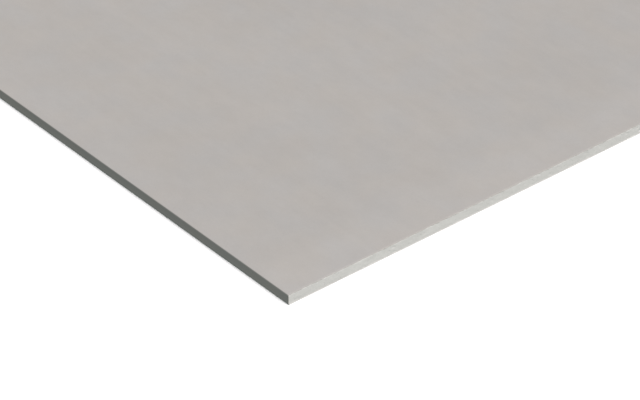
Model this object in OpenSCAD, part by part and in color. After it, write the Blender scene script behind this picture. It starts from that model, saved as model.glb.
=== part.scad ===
// Drywall sheet: square-edge gypsum board, lying flat with its face side up. Millimetres.
// The origin is at the middle of the back, the side that lies on the floor.
// X runs along the two long edges, which the paper wraps, Y runs across the sheet, and Z is up.

/* [Sheet] */
// Length, from one cut end to the other
sheet_length = 2438.4; // [600:0.1:3660]
// Width, from one paper-wrapped long edge to the other
sheet_width = 1219.2; // [300:0.1:1380]
// Thickness, from the back to the face
sheet_thickness = 12.7; // [6.4:0.1:25.4]

/* [Long edges] */
// Radius of the fold where the face turns down into a long edge
face_fold_radius = 1.0; // [0.3:0.1:3]
// Radius of the fold where a long edge turns in under the back
back_fold_radius = 1.5; // [0.3:0.1:3]

/* [Hidden] */
// How far a cutting shape runs past the surface that it cuts
cut_past = 1;
$fn = 64;

// What a fold takes off a square corner at the origin, with the section above and to its right
module fold_waste(radius) {
    difference() {
        translate([-cut_past, -cut_past]) square(radius + cut_past);
        translate([radius, radius]) circle(radius);
    }
}

// Left long edge: what its back fold and its face fold take off the section
module long_edge_waste() {
    translate([-sheet_width / 2, 0]) fold_waste(back_fold_radius);
    translate([-sheet_width / 2, sheet_thickness]) mirror([0, 1]) fold_waste(face_fold_radius);
}

// Cross-section, with the width along X and the back at Y = 0
module sheet_section() {
    difference() {
        translate([-sheet_width / 2, 0]) square([sheet_width, sheet_thickness]);
        long_edge_waste();
        mirror([1, 0]) long_edge_waste();
    }
}

// The whole sheet: the section run along X and cut square at both ends
module drywall_sheet() {
    color([0.72, 0.70, 0.69])
        translate([-sheet_length / 2, 0, 0])
            rotate([90, 0, 90])
                linear_extrude(sheet_length) sheet_section();
}

drywall_sheet();
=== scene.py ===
"""Drywall sheet: its looks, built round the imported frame, in metres and along the frame's own axes."""

import math

import bpy
import numpy as np
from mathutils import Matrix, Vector, noise


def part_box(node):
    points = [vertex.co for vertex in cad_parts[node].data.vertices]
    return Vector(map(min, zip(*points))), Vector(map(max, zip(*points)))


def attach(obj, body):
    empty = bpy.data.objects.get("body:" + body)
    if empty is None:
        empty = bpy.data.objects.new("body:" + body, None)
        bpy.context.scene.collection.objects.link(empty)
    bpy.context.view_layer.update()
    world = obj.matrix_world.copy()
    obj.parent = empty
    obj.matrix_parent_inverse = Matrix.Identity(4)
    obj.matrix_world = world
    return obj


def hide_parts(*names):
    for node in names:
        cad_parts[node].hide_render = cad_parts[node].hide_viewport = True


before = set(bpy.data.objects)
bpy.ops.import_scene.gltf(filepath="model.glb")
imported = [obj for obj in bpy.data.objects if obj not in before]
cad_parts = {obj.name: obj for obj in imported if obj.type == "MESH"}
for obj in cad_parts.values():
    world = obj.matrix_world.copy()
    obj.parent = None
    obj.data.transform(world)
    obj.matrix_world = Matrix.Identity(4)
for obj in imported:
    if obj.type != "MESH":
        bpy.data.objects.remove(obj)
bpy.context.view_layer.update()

MM = 0.001
NODE = "drywall_sheet"
LOW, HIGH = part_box(NODE)
LENGTH, THICKNESS = HIGH.x - LOW.x, HIGH.z - LOW.z

# Section of the board
FACE_FOLD = 1.0 * MM  # radius where the face paper turns down into a long edge
BACK_FOLD = 1.5 * MM  # radius where it turns in under the back
PAPER = 0.35 * MM  # thickness of the paper
LAP = 14 * MM  # how far the face paper reaches in from a long edge before the back paper covers it
LAP_STEP = 0.25 * MM  # how far the lap lies inside the back paper's surface
STEP_RUN = 0.3 * MM  # width of the slope from one to the other
EDGE_BOW = 0.12 * MM  # how far the middle of a long edge is drawn in between its folds

# Cut ends
CORE_BACK = 0.18 * MM  # how far the gypsum lies behind the cut where nothing has crumbled
CORE_RIM = 0.06 * MM  # width of the slope from the cut paper down to it
FRAY = 0.65 * MM  # deepest nibble out of the face paper's cut line
FRAY_BELOW = 0.35  # how deep the nibbles are elsewhere on the cut line, as a share of that
DROOP = 0.5 * MM  # the most that the face is pressed down along its cut line
CRUSHED = 3 * MM  # how deep into the board that press reaches
ARRIS_RUN = 2.2 * MM  # how far in from the cut line the press and the nibbles reach

# Unevenness of the cut ends: a mean, and layers of noise on it, each a (height, size of its features)
PRESS_MEAN = 0.55  # a share of DROOP, as the next two are
PRESS_LEAST = 0.1
PRESS_LAYERS = [(0.4, 9 * MM), (0.3, 2.5 * MM)]
NIBBLE_MEAN = 0.3  # a share of FRAY, as its layers are
NIBBLE_LAYERS = [(0.5, 14 * MM), (0.45, 4 * MM), (0.3, 1.7 * MM)]
CRUMBLE_MEAN = 0.14 * MM  # how deep the gypsum has crumbled behind CORE_BACK
CRUMBLE_MOST = 0.9 * MM  # that with its layers and pits
CRUMBLE_LAYERS = [(0.1 * MM, 30 * MM), (0.1 * MM, 9 * MM), (0.1 * MM, 3.5 * MM), (0.07 * MM, 1.6 * MM)]
PIT_SIZE = 2.6 * MM
PIT_ABOVE = 0.42  # there is a pit where its noise is above this
PIT_DEPTH = 1.3 * MM  # how deep it is for each 1 that the noise is above
PRESS_SEED, NIBBLE_SEED, CRUMBLE_SEED, PIT_SEED = 3, 5, 11, 15

# How finely the mesh is divided
FINE = 1024  # cells across the sheet at a cut end
THINNING = 4  # cells that become one at each thinning, of which there are two
FOLD_CELLS = 4  # round one fold
FLAT_CELLS = 8  # down a long edge, between its folds
LAP_CELLS = 8  # across a lap and its step
EDGE_CELLS = 2 * FOLD_CELLS + FLAT_CELLS
FINE_STATIONS = [0.0, 0.3 * MM, 0.8 * MM, 1.5 * MM, ARRIS_RUN]  # distances in from a cut end
THINNED_STATIONS = [4 * MM, 16 * MM]  # and those at which the cells are thinned
COARSE_PITCH = 30 * MM  # about how far apart the rings beyond them are
RIM_CELL = 1 * MM  # width of the face's first and last cells, to keep the folds' smooth shading off it
SHARP = math.radians(38)  # edges that turn by more than this are shaded as sharp

# The strip that each surface gets on a baked picture, as a share of the picture's height
STRIPS = {
    "end_plus": 0.055, "end_minus": 0.055,
    "edge_plus": 0.05, "edge_minus": 0.05,
    "back": 0.28, "face": 0.44,
}
STRIP_GAP = 0.01  # between the strips, and round the picture


# ---------------------------------------------------------------- shape

SEED_STEP = (17.31, 5.17, 9.73)  # how far apart the noise of two seeds is taken from


def ripple(places, size, seed):
    """Smooth noise from about -1 to 1 at each place, with features about size across."""
    shift = Vector([seed * step for step in SEED_STEP])
    return np.array([noise.noise(Vector(place) / size + shift) for place in places])


def layered(places, mean, layers, seed):
    """Uneven values about mean, from (height, size) layers of noise with one seed after another."""
    values = mean
    for number, (height, size) in enumerate(layers):
        values = values + height * ripple(places, size, seed + number)
    return values


def edge_outline(inset):
    """One long edge from face to back, as (distance in from the edge, height) points, inset all over."""
    points = []
    flat_top = THICKNESS - FACE_FOLD
    for i in range(FOLD_CELLS):
        turn = math.pi / 2 * i / FOLD_CELLS
        radius = FACE_FOLD - inset
        points.append((FACE_FOLD - radius * math.sin(turn), flat_top + radius * math.cos(turn)))
    for i in range(FLAT_CELLS):
        along = i / FLAT_CELLS
        height = flat_top * (1 - along) + BACK_FOLD * along
        bow = EDGE_BOW * 4 * along * (1 - along)  # a parabola, EDGE_BOW deep in the middle
        points.append((inset + bow, height))
    for i in range(FOLD_CELLS + 1):
        turn = math.pi / 2 * i / FOLD_CELLS
        across, up = BACK_FOLD - inset, BACK_FOLD - LAP_STEP - inset
        points.append((BACK_FOLD - across * math.cos(turn), BACK_FOLD - up * math.sin(turn)))
    return points


def lap_outline(inset):
    """The lap of face paper under the back, from the fold to the back paper's edge, in the same form."""
    flat = np.linspace(BACK_FOLD, LAP, LAP_CELLS)
    return [(u, LAP_STEP + inset) for u in flat] + [(LAP + STEP_RUN, inset)]


def face_places(cells):
    """Where the face's cells begin and end across the sheet."""
    half = HIGH.y - FACE_FOLD
    inner = np.linspace(RIM_CELL - half, half - RIM_CELL, cells - 1)
    return [-half, *inner, half]


def section(cells, inset=0.0):
    """The closed outline of the board, clockwise as seen from +X, as spans of (y, z) points.

    cells is how many cells the face has. Each span leaves out its last point, which starts the next."""
    edge = edge_outline(inset)
    lap = lap_outline(inset)
    back_cells = cells - 2 * LAP_CELLS * cells // FINE
    back_half = HIGH.y - LAP - STEP_RUN
    right = [(HIGH.y - u, z) for u, z in edge]
    right_lap = [(HIGH.y - u, z) for u, z in lap]
    back = [(y, inset) for y in np.linspace(back_half, -back_half, back_cells + 1)]
    left_lap = [(LOW.y + u, z) for u, z in reversed(lap)]
    left = [(LOW.y + u, z) for u, z in reversed(edge)]
    face = [(y, THICKNESS - inset) for y in face_places(cells)]
    return [np.array(span[:-1]) for span in (right, right_lap, back, left_lap, left, face)]


PAPER_SLOT, BACK_SLOT, CUT_PAPER_SLOT, CORE_SLOT = range(4)
# The material slot and the strip of each span of the section
SPANS = [
    (PAPER_SLOT, "edge_plus"), (PAPER_SLOT, "edge_plus"), (BACK_SLOT, "back"),
    (PAPER_SLOT, "edge_minus"), (PAPER_SLOT, "edge_minus"), (PAPER_SLOT, "face"),
]
EDGE_SPANS = 2  # the edge itself and its lap share a strip
FIRST_OF_MINUS = SPANS.index((PAPER_SLOT, "edge_minus"))


class Board:
    """Gathers the points and faces of the sheet's one closed mesh."""

    def __init__(self):
        self.points = []
        self.turns = []  # how far round the section each point lies, in spans (not used on the gypsum)
        self.faces = []
        self.slots = []
        self.strips = []

    def add_points(self, places, turns):
        """Adds the places, and returns the numbers of their points."""
        first = len(self.points)
        self.points.extend(map(tuple, places))
        self.turns.extend(turns)
        return list(range(first, len(self.points)))

    def add_face(self, corners, slot, strip):
        """Adds a face with its material slot and the name of its strip."""
        self.faces.append(corners)
        self.slots.append(slot)
        self.strips.append(list(STRIPS).index(strip))

    def bridge(self, ring, after, end=None):
        """Joins two rings of spans. The second is as fine as the first, or coarser or finer by THINNING.

        end is the (slot, strip) of all the faces, where they belong to a cut end."""
        flat_ring, flat_after = sum(ring, []), sum(after, [])
        a = b = 0
        for span, span_after, own in zip(ring, after, SPANS):
            cells = min(len(span), len(span_after))
            step, step_after = len(span) // cells, len(span_after) // cells
            for _ in range(cells):
                here = [flat_ring[(a + i) % len(flat_ring)] for i in range(step + 1)]
                there = [flat_after[(b + i) % len(flat_after)] for i in range(step_after + 1)]
                self.add_face(here + there[::-1], *(end or own))
                a += step
                b += step_after


def press_down(places, end_distance):
    """Presses the top of the board down along its cut line, unevenly."""
    level = places * (1, 1, 0)
    near = (1 - end_distance / ARRIS_RUN) ** 2
    press = layered(level, PRESS_MEAN, PRESS_LAYERS, PRESS_SEED)
    share = np.clip((places[:, 2] - THICKNESS + CRUSHED) / (CRUSHED - PAPER), 0, 1)
    places[:, 2] -= DROOP * near * np.clip(press, PRESS_LEAST, 1) * share


def nibble(places, end_distance):
    """How far the nibbles move in each place, on a cut line or end_distance in from it."""
    near = 1 - end_distance / ARRIS_RUN
    rough = layered(places, NIBBLE_MEAN, NIBBLE_LAYERS, NIBBLE_SEED)
    share = np.where(places[:, 2] > THICKNESS - FACE_FOLD, 1, FRAY_BELOW)
    return FRAY * near * np.clip(rough, 0, 1) * share


def ring_at(board, side, cells, end_distance, inset=0.0, sunk=0.0):
    """One ring of points round the section, end_distance in from the cut end on side 1 (+X) or -1.

    cells and inset are as in section(). sunk moves a ring at a cut end further in along the sheet."""
    numbers = []
    for order, span in enumerate(section(cells, inset)):
        x = side * (LENGTH / 2 - end_distance)
        places = np.column_stack([np.full(len(span), x), span])
        if end_distance < ARRIS_RUN:
            places[:, 0] -= side * (nibble(places, end_distance) + sunk)
            press_down(places, end_distance)
        numbers.append(board.add_points(places, order + np.arange(len(span)) / len(span)))
    return numbers


def crumble(places):
    """How far each place on the gypsum lies behind the plane of its cut end."""
    worn = layered(places, CRUMBLE_MEAN, CRUMBLE_LAYERS, CRUMBLE_SEED)
    pits = PIT_DEPTH * np.clip(ripple(places, PIT_SIZE, PIT_SEED) - PIT_ABOVE, 0, 1)
    return CORE_BACK + np.clip(worn + pits, 0, CRUMBLE_MOST)


def cap(board, side, ring, strip):
    """Fills a cut end's inner ring with a grid of gypsum, column by column across the sheet."""
    right, right_lap, back, left_lap, left, face = ring
    top = face + right[:1]
    bottom = left[:1] + left_lap[::-1] + back[::-1] + right_lap[::-1]
    shares = np.arange(1, EDGE_CELLS) / EDGE_CELLS
    columns = []
    for over, under in zip(top, bottom):
        high, low = np.array(board.points[over]), np.array(board.points[under])
        places = high + shares[:, None] * (low - high)
        places[:, 0] = side * LENGTH / 2
        places[:, 0] -= side * crumble(places)
        columns.append([over] + board.add_points(places, shares) + [under])
    left_edge = [top[0]] + left[:0:-1] + [bottom[0]]
    right_edge = [top[-1]] + right[1:] + [bottom[-1]]
    lines = [left_edge] + columns + [right_edge]
    for before, after in zip(lines, lines[1:]):
        for i in range(EDGE_CELLS):
            corners = [before[i], before[i + 1], after[i + 1], after[i]]
            corners = list(dict.fromkeys(corners))  # beside a long edge two of them are one
            board.add_face(corners if side > 0 else corners[::-1], CORE_SLOT, strip)


def end_rings(board, side):
    """The rings near one cut end: the gypsum's rim, the cut paper's inner line, and those beyond."""
    core = ring_at(board, side, FINE, 0.0, PAPER + CORE_RIM, CORE_BACK)
    paper = ring_at(board, side, FINE, 0.0, PAPER)
    rings = [core, paper] + [ring_at(board, side, FINE, distance) for distance in FINE_STATIONS]
    cells = FINE
    for distance in THINNED_STATIONS:
        cells //= THINNING
        rings.append(ring_at(board, side, cells, distance))
    return rings


def picture_map(board):
    """Where each face's corners lie on a baked picture, with every surface stretched over its strip."""
    corners = np.concatenate(board.faces)
    strip = np.repeat(board.strips, [len(face) for face in board.faces])
    along, across, up = ((np.array(board.points) - LOW) / (HIGH - LOW))[corners].T
    turn = np.array(board.turns)[corners]
    heights = np.array(list(STRIPS.values()))
    bottoms = STRIP_GAP + np.cumsum(heights + STRIP_GAP) - (heights + STRIP_GAP)
    names = np.array(list(STRIPS))[strip]
    on_end, on_edge = np.char.startswith(names, "end"), np.char.startswith(names, "edge")
    edge_share = np.where(names == "edge_plus", turn, turn - FIRST_OF_MINUS) / EDGE_SPANS
    share = np.select([on_end, on_edge], [up, edge_share], across)
    left_to_right = STRIP_GAP + (1 - 2 * STRIP_GAP) * np.where(on_end, across, along)
    return np.column_stack([left_to_right, bottoms[strip] + heights[strip] * share])


def sheet_mesh():
    """The whole sheet as one closed mesh: rings from the cut end at +X to the other, and two caps."""
    board = Board()
    plus, minus = end_rings(board, 1), end_rings(board, -1)
    start = THINNED_STATIONS[-1]
    inner = LENGTH - 2 * start
    count = round(inner / COARSE_PITCH)
    coarse = FINE // THINNING ** len(THINNED_STATIONS)
    middle = [ring_at(board, 1, coarse, start + inner * i / count) for i in range(1, count)]
    rings = plus + middle + minus[::-1]
    at_plus = [(CORE_SLOT, "end_plus"), (CUT_PAPER_SLOT, "end_plus")]
    at_minus = [(CUT_PAPER_SLOT, "end_minus"), (CORE_SLOT, "end_minus")]
    bridges = len(rings) - 1
    ends = at_plus + [None] * (bridges - len(at_plus + at_minus)) + at_minus
    for ring, after, end in zip(rings, rings[1:], ends):
        board.bridge(ring, after, end)
    cap(board, 1, plus[0], "end_plus")
    cap(board, -1, minus[0], "end_minus")
    mesh = bpy.data.meshes.new("sheet")
    mesh.from_pydata(board.points, [], board.faces)
    mesh.polygons.foreach_set("material_index", board.slots)
    mesh.uv_layers.new(name="OFBake").data.foreach_set("uv", picture_map(board).ravel())
    mesh.shade_smooth()
    mesh.set_sharp_from_angle(angle=SHARP)
    mesh.validate()
    return mesh


# ---------------------------------------------------------------- materials

NOISE_RANGE = (0.3, 0.7)  # most of a noise field's values lie between these
NOISE_MIDDLE = 0.5


def new_material(name):
    """A new material, its node tree to build on, and its Principled shader."""
    material = bpy.data.materials.new(name)
    material.use_nodes = True
    tree = material.node_tree
    shader = tree.nodes["Principled BSDF"]
    return material, tree, shader


def socket(tree, value, target):
    """Sets a socket from a number or colour, or links it from another socket."""
    if isinstance(value, bpy.types.NodeSocket):
        tree.links.new(value, target)
    else:
        target.default_value = value


def object_place(tree, longer=1.0, turn=0.0):
    """The place on the object in metres, for a pattern longer along X and then turned about Z."""
    coordinates = tree.nodes.new("ShaderNodeTexCoord")
    mapping = tree.nodes.new("ShaderNodeMapping")
    mapping.vector_type = "TEXTURE"
    mapping.inputs["Scale"].default_value = (longer, 1, 1)
    mapping.inputs["Rotation"].default_value = (0, 0, turn)
    tree.links.new(coordinates.outputs["Object"], mapping.inputs["Vector"])
    return mapping.outputs["Vector"]


def noise_field(tree, size, detail=2.0, roughness=0.5, longer=1.0, turn=0.0):
    """Noise from 0 to 1 with features about size across, and longer times that along X, then turned."""
    node = tree.nodes.new("ShaderNodeTexNoise")
    node.inputs["Scale"].default_value = 1 / size
    node.inputs["Detail"].default_value = detail
    node.inputs["Roughness"].default_value = roughness
    tree.links.new(object_place(tree, longer, turn), node.inputs["Vector"])
    return node.outputs["Fac"]


def spread(tree, value, low, high, to_low=0.0, to_high=1.0):
    """Maps value from low..high to to_low..to_high, and clamps it."""
    node = tree.nodes.new("ShaderNodeMapRange")
    limits = {"From Min": low, "From Max": high, "To Min": to_low, "To Max": to_high}
    for name, number in limits.items():
        node.inputs[name].default_value = number
    tree.links.new(value, node.inputs["Value"])
    return node.outputs["Result"]


def varied(tree, value, share):
    """Turns a noise field into a factor that stays within share of 1."""
    return spread(tree, value, *NOISE_RANGE, 1 - share, 1 + share)


def maths(tree, operation, first, second=0.0):
    """One Math node on two numbers or sockets."""
    node = tree.nodes.new("ShaderNodeMath")
    node.operation = operation
    socket(tree, first, node.inputs[0])
    socket(tree, second, node.inputs[1])
    return node.outputs[0]


def product(tree, first, *others):
    """All the factors multiplied together."""
    for other in others:
        first = maths(tree, "MULTIPLY", first, other)
    return first


def tinted(tree, colour, brightness):
    """colour times a brightness that varies over the surface."""
    node = tree.nodes.new("ShaderNodeVectorMath")
    node.operation = "SCALE"
    socket(tree, colour, node.inputs[0])
    tree.links.new(brightness, node.inputs["Scale"])
    return node.outputs["Vector"]


def blended(tree, share, first, second):
    """first where share is 0, and second where it is 1, both colours as vectors."""
    node = tree.nodes.new("ShaderNodeMix")
    node.data_type = "VECTOR"
    inputs = {each.identifier: each for each in node.inputs}
    outputs = {each.identifier: each for each in node.outputs}
    tree.links.new(share, inputs["Factor_Float"])
    inputs["A_Vector"].default_value = first
    inputs["B_Vector"].default_value = second
    return outputs["Result_Vector"]


def bumped(tree, shader, height, depth):
    """Gives the shader a relief: height times depth, in metres."""
    node = tree.nodes.new("ShaderNodeBump")
    node.inputs["Strength"].default_value = 1.0
    node.inputs["Distance"].default_value = depth
    tree.links.new(height, node.inputs["Height"])
    tree.links.new(node.outputs["Normal"], shader.inputs["Normal"])


END_PAINTED_LIGHT = 0.04  # painted light: how much paler the face is painted along its cut ends, in place of brighter light there
END_PAINTED_LIGHT_REACH = (44 * MM, 76 * MM)  # where that starts to fade, and where it is gone
EDGE_PAINTED_LIGHT = 0.02  # painted light: how much paler it is painted along its long edges
EDGE_PAINTED_LIGHT_REACH = (0.0, 75 * MM)
PAINTED_LIGHT_WANDER = 9 * MM  # how far both bands of painted light wander in and out
TORN = 0.8 * MM  # the furthest in from a cut line that the face paper's top ply is torn away
TORN_RANGE = (0.4, 0.7)  # the noise at which it starts to tear, and at which it is torn that far
TORN_PLY = 0.1 * MM  # thickness of that ply
TORN_FRINGE = 0.08 * MM  # half the width over which it thins out
TORN_PALER = 0.3  # how much paler the ply below is

WARM, COOL = (1.008, 1, 0.99), (0.992, 1, 1.01)  # the paper's colour shifts between these
HUE_RANGE = (0.35, 0.65)  # the noise at which it is all warm, and all cool
DRIFT = 0.6  # how strong the widest clouds are, against the others
STREAKS = 0.3  # how strong the streaks are, against them too
FLECK_RANGE = (0.74, 0.8)  # the noise at which a fleck begins, and at which it is darkest
FLECK_SHADE = 0.88
STRAY_ANGLES = (math.radians(17), math.radians(-21))  # the stray fibres' angles to the sheet's length
STRAY_RANGE = (0.01, 0.035)  # how far the noise is from its middle on a stray fibre, and beside it
STRAY_WHERE = (0.52, 0.62)  # the second noise at which they start to show, and at which they show fully
PAPER_ROUGHNESS = (0.78, 0.92)
PAPER_SPECULAR = 0.3


def rim_distances(tree):
    """How far in from the nearer cut end and long edge a place is, and 1 on the face but 0 lower down."""
    place = tree.nodes.new("ShaderNodeSeparateXYZ")
    tree.links.new(object_place(tree), place.inputs[0])
    from_end, from_edge = [
        maths(tree, "SUBTRACT", half, maths(tree, "ABSOLUTE", place.outputs[axis]))
        for axis, half in (("X", HIGH.x), ("Y", HIGH.y))
    ]
    on_face = spread(tree, place.outputs["Z"], THICKNESS / 2, THICKNESS - CRUSHED / 2)
    return from_end, from_edge, on_face


def painted_light_bands(tree, from_end, from_edge):
    """Painted light: how much paler the face is painted, in soft bands along its four sides."""
    wander = spread(tree, noise_field(tree, size=60 * MM), *NOISE_RANGE, -PAINTED_LIGHT_WANDER, PAINTED_LIGHT_WANDER)
    by_end = spread(tree, maths(tree, "ADD", from_end, wander), *END_PAINTED_LIGHT_REACH, END_PAINTED_LIGHT, 0.0)
    by_edge = spread(tree, maths(tree, "ADD", from_edge, wander), *EDGE_PAINTED_LIGHT_REACH, EDGE_PAINTED_LIGHT, 0.0)
    return maths(tree, "ADD", by_end, by_edge)


def torn(tree, from_end):
    """1 where the top ply is torn away along a cut line, raggedly, and 0 elsewhere."""
    ragged = noise_field(tree, size=6 * MM, detail=4, roughness=0.65)
    reach = spread(tree, ragged, *TORN_RANGE, 0.0, TORN)
    return spread(tree, maths(tree, "SUBTRACT", from_end, reach), -TORN_FRINGE, TORN_FRINGE, 1.0, 0.0)


def stray_fibres(tree, turn):
    """1 on thin single fibres that lie at an angle to the sheet's length, and 0 between them."""
    field = noise_field(tree, size=0.9 * MM, detail=0, longer=9, turn=turn)
    off_line = maths(tree, "ABSOLUTE", maths(tree, "SUBTRACT", field, NOISE_MIDDLE))
    patches = noise_field(tree, size=1.5 * MM, detail=1, longer=1.5, turn=turn)
    on_line = spread(tree, off_line, *STRAY_RANGE, 1.0, 0.0)
    return product(tree, on_line, spread(tree, patches, *STRAY_WHERE))


def paper_material(name, colour, cloud, fibre, depth):
    """Paper of the board: clouds, streaks and fibres along the sheet, stray fibres, a few flecks, and
    bands of painted light along the face's sides.

    cloud and fibre are how far each may move the brightness, and depth is the fibres' relief."""
    material, tree, shader = new_material(name)
    warm, cool = [Vector(colour) * Vector(tilt) for tilt in (WARM, COOL)]
    hue = blended(tree, spread(tree, noise_field(tree, size=50 * MM), *HUE_RANGE), warm, cool)
    drift = varied(tree, noise_field(tree, size=220 * MM), DRIFT * cloud)
    clouds = varied(tree, noise_field(tree, size=30 * MM, detail=3, roughness=0.7, longer=1.4), cloud)
    streaks = varied(tree, noise_field(tree, size=9 * MM, longer=50), STREAKS * cloud)
    fibres = noise_field(tree, size=0.5 * MM, detail=3, roughness=0.6, longer=4)
    stray = maths(tree, "MAXIMUM", *[stray_fibres(tree, angle) for angle in STRAY_ANGLES])
    specks = noise_field(tree, size=1.2 * MM, detail=1, longer=1.5)
    from_end, from_edge, on_face = rim_distances(tree)
    bare = product(tree, torn(tree, from_end), on_face)
    # painted light: the face is painted paler in bands along its cut ends and long edges
    painted_light_share = product(tree, painted_light_bands(tree, from_end, from_edge), on_face)
    brightness = product(
        tree, drift, clouds, streaks,
        varied(tree, fibres, fibre),
        spread(tree, specks, *FLECK_RANGE, 1.0, FLECK_SHADE),
        maths(tree, "ADD", painted_light_share, 1.0),
        spread(tree, stray, 0, 1, 1.0, 1 - fibre),
        spread(tree, bare, 0, 1, 1.0, 1 + TORN_PALER),
    )
    tree.links.new(tinted(tree, hue, brightness), shader.inputs["Base Color"])
    tree.links.new(spread(tree, fibres, *NOISE_RANGE, *PAPER_ROUGHNESS), shader.inputs["Roughness"])
    shader.inputs["Specular IOR Level"].default_value = PAPER_SPECULAR
    relief = maths(tree, "SUBTRACT", fibres, maths(tree, "MULTIPLY", bare, TORN_PLY / depth))
    bumped(tree, shader, relief, depth)
    return material


HOLE_CELLS = (2.1 * MM, 0.9 * MM)  # the air holes' spacing, in two sizes
HOLE_RANGE = (0.52, 0.85)  # a cell's own random number at which it has no hole, and the widest one
HOLE_RADIUS = (0.001, 0.32)  # of none and of the widest, as a share of the cell
HOLE_PAINTED_SHADE = 0.72  # painted shade: how dark the middle of a hole is painted, in place of the shadow inside it
GRAIN = 0.06  # how far the gypsum's grains move its brightness
GYPSUM_DRIFT = 0.03  # how far its wide clouds do
GYPSUM_RELIEF = 0.2 * MM  # depth of its bump
FUZZ = 0.15  # how far the cut paper's fibres move its brightness
FUZZ_RELIEF = 0.1 * MM  # depth of theirs
CHALKY_ROUGHNESS = 0.95
CHALKY_SPECULAR = 0.2


def chalky(shader):
    """Makes a surface almost without gloss."""
    shader.inputs["Roughness"].default_value = CHALKY_ROUGHNESS
    shader.inputs["Specular IOR Level"].default_value = CHALKY_SPECULAR


def air_holes(tree, cell):
    """Round hollows of mixed sizes, one to a cell at most: 0 in their middle, 1 from their rim on."""
    cells = tree.nodes.new("ShaderNodeTexVoronoi")
    cells.inputs["Scale"].default_value = 1 / cell
    tree.links.new(object_place(tree), cells.inputs["Vector"])
    radius = spread(tree, cells.outputs["Color"], *HOLE_RANGE, *HOLE_RADIUS)
    outward = maths(tree, "MINIMUM", maths(tree, "DIVIDE", cells.outputs["Distance"], radius), 1.0)
    return maths(tree, "POWER", outward, 2.0)


# Base colours, linear
GYPSUM = (0.706, 0.695, 0.660)
CUT_PAPER = (0.56, 0.53, 0.48)
FACE_PAPER = (0.4085, 0.388, 0.369)
BACK_PAPER = (0.34, 0.315, 0.28)


def gypsum_material():
    """The gypsum of a cut end: chalky, with grains, and air holes of two sizes with painted shade in
    their middles.
    """
    material, tree, shader = new_material("gypsum_core")
    drift = varied(tree, noise_field(tree, size=30 * MM), GYPSUM_DRIFT)
    grain = noise_field(tree, size=1.2 * MM, detail=4, roughness=0.65)
    holes = product(tree, *[air_holes(tree, cell) for cell in HOLE_CELLS])
    # painted shade: the air holes are painted darker towards their middles, where shadow would fall
    painted_hole_shade = spread(tree, holes, 0, 1, HOLE_PAINTED_SHADE, 1.0)
    brightness = product(tree, drift, varied(tree, grain, GRAIN), painted_hole_shade)
    tree.links.new(tinted(tree, GYPSUM, brightness), shader.inputs["Base Color"])
    chalky(shader)
    bumped(tree, shader, maths(tree, "ADD", grain, holes), GYPSUM_RELIEF)
    return material


def cut_paper_material():
    """The cut edge of the paper, a furry line."""
    material, tree, shader = new_material("cut_paper")
    fuzz = noise_field(tree, size=0.5 * MM, detail=3, roughness=0.7)
    tree.links.new(tinted(tree, CUT_PAPER, varied(tree, fuzz, FUZZ)), shader.inputs["Base Color"])
    chalky(shader)
    bumped(tree, shader, fuzz, FUZZ_RELIEF)
    return material


# ---------------------------------------------------------------- the sheet

def add_sheet():
    """The sheet with its four materials, in place of the CAD node."""
    sheet = bpy.data.objects.new("sheet", sheet_mesh())
    bpy.context.scene.collection.objects.link(sheet)
    for material in (
        paper_material("face_paper", FACE_PAPER, cloud=0.022, fibre=0.03, depth=0.04 * MM),
        paper_material("back_paper", BACK_PAPER, cloud=0.034, fibre=0.05, depth=0.06 * MM),
        cut_paper_material(),
        gypsum_material(),
    ):
        sheet.data.materials.append(material)
    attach(sheet, "root")
    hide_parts(NODE)


# ---------------------------------------------------------------- studio

FLOOR_HALF = 400.0  # half its side, far enough to fill a low view
FLOOR_DROP = 0.1 * MM  # how far it lies below the sheet
FLOOR_COLOUR = (0.97, 0.97, 0.97)

CAMERA_AZIMUTH, CAMERA_ELEVATION = math.radians(50.2), math.radians(34.2)
CAMERA_DISTANCE = 3.224
CAMERA_LENS = 168.75
CAMERA_REACH = 1000.0  # past the floor's far side
AIM_FROM_END, AIM_FROM_EDGE = 0.1129, 0.1362  # how far in from the near corner it aims

KEY_ELEVATION = math.radians(57)
KEY_SPREAD = math.radians(30)
KEY_COLOUR = (1.0, 0.954, 0.974)
KEY_ON_FACE = 0.88  # how bright the key alone would make a white face, where the display's white is 1
SKY_COLOUR = (0.269, 0.303, 0.292)  # the sky that lights the sheet
SEEN_COLOUR = (1.0, 1.0, 1.0)  # the sky that the camera sees


def add_camera():
    """Looks down on the near corner from the photograph's angle."""
    camera = bpy.data.objects.new("camera", bpy.data.cameras.new("camera"))
    bpy.context.scene.collection.objects.link(camera)
    aim = Vector((HIGH.x - AIM_FROM_END, LOW.y + AIM_FROM_EDGE, HIGH.z))
    level = math.cos(CAMERA_ELEVATION)
    back = Vector((
        math.sin(CAMERA_AZIMUTH) * level,
        -math.cos(CAMERA_AZIMUTH) * level,
        math.sin(CAMERA_ELEVATION),
    ))
    camera.location = aim + back * CAMERA_DISTANCE
    camera.rotation_euler = (math.pi / 2 - CAMERA_ELEVATION, 0, CAMERA_AZIMUTH)
    camera.data.lens = CAMERA_LENS
    camera.data.clip_end = CAMERA_REACH
    bpy.context.scene.camera = camera


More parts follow.
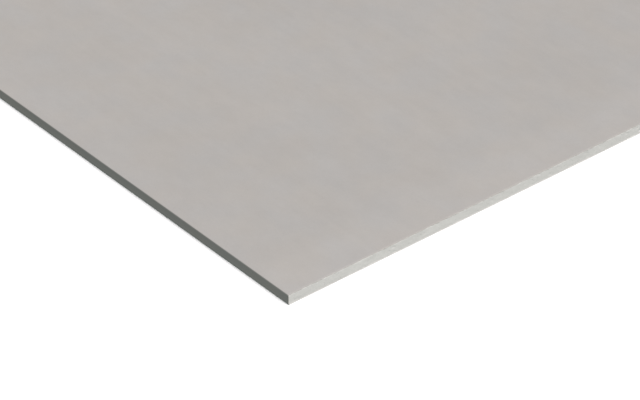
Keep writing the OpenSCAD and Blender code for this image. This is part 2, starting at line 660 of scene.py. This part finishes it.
def add_floor():
    """A plain white floor, which is lit and shadowed but throws no light back up on the sheet."""
    mesh = bpy.data.meshes.new("floor")
    half = FLOOR_HALF
    corners = [(-half, -half, 0), (half, -half, 0), (half, half, 0), (-half, half, 0)]
    mesh.from_pydata(corners, [], [(0, 1, 2, 3)])
    floor = bpy.data.objects.new("floor", mesh)
    floor.location.z = LOW.z - FLOOR_DROP
    bpy.context.scene.collection.objects.link(floor)
    material, _, shader = new_material("floor")
    shader.inputs["Base Color"].default_value = (*FLOOR_COLOUR, 1)
    shader.inputs["Roughness"].default_value = 1.0
    shader.inputs["Specular IOR Level"].default_value = 0.0
    mesh.materials.append(material)
    floor.visible_diffuse = False
    floor.visible_glossy = False


def add_key():
    """A soft sun from beyond the cut end, which leaves the long edge in shade."""
    lamp = bpy.data.lights.new("key", "SUN")
    lamp.angle = KEY_SPREAD
    lamp.color = KEY_COLOUR
    lamp.energy = math.pi * KEY_ON_FACE / math.sin(KEY_ELEVATION)
    key = bpy.data.objects.new("key", lamp)
    towards = Vector((math.cos(KEY_ELEVATION), 0, math.sin(KEY_ELEVATION)))
    key.rotation_euler = towards.to_track_quat("Z", "Y").to_euler()
    bpy.context.scene.collection.objects.link(key)


def add_sky():
    """An even sky, in one colour for the light on the sheet and in another for the camera."""
    world = bpy.data.worlds.new("studio")
    world.use_nodes = True
    bpy.context.scene.world = world
    tree = world.node_tree
    sky = tree.nodes["Background"]
    sky.inputs["Color"].default_value = (*SKY_COLOUR, 1)
    seen = tree.nodes.new("ShaderNodeBackground")
    seen.inputs["Color"].default_value = (*SEEN_COLOUR, 1)
    path = tree.nodes.new("ShaderNodeLightPath")
    mix = tree.nodes.new("ShaderNodeMixShader")
    tree.links.new(path.outputs["Is Camera Ray"], mix.inputs["Fac"])
    tree.links.new(sky.outputs[0], mix.inputs[1])
    tree.links.new(seen.outputs[0], mix.inputs[2])
    tree.links.new(mix.outputs[0], tree.nodes["World Output"].inputs["Surface"])


def set_view():
    """Shows the light as it is, without a film look."""
    settings = bpy.context.scene.view_settings
    settings.view_transform = "Standard"
    settings.look = "None"
    settings.exposure = 0
    settings.gamma = 1


set_view()
add_camera()
add_sheet()
add_floor()
add_key()
add_sky()
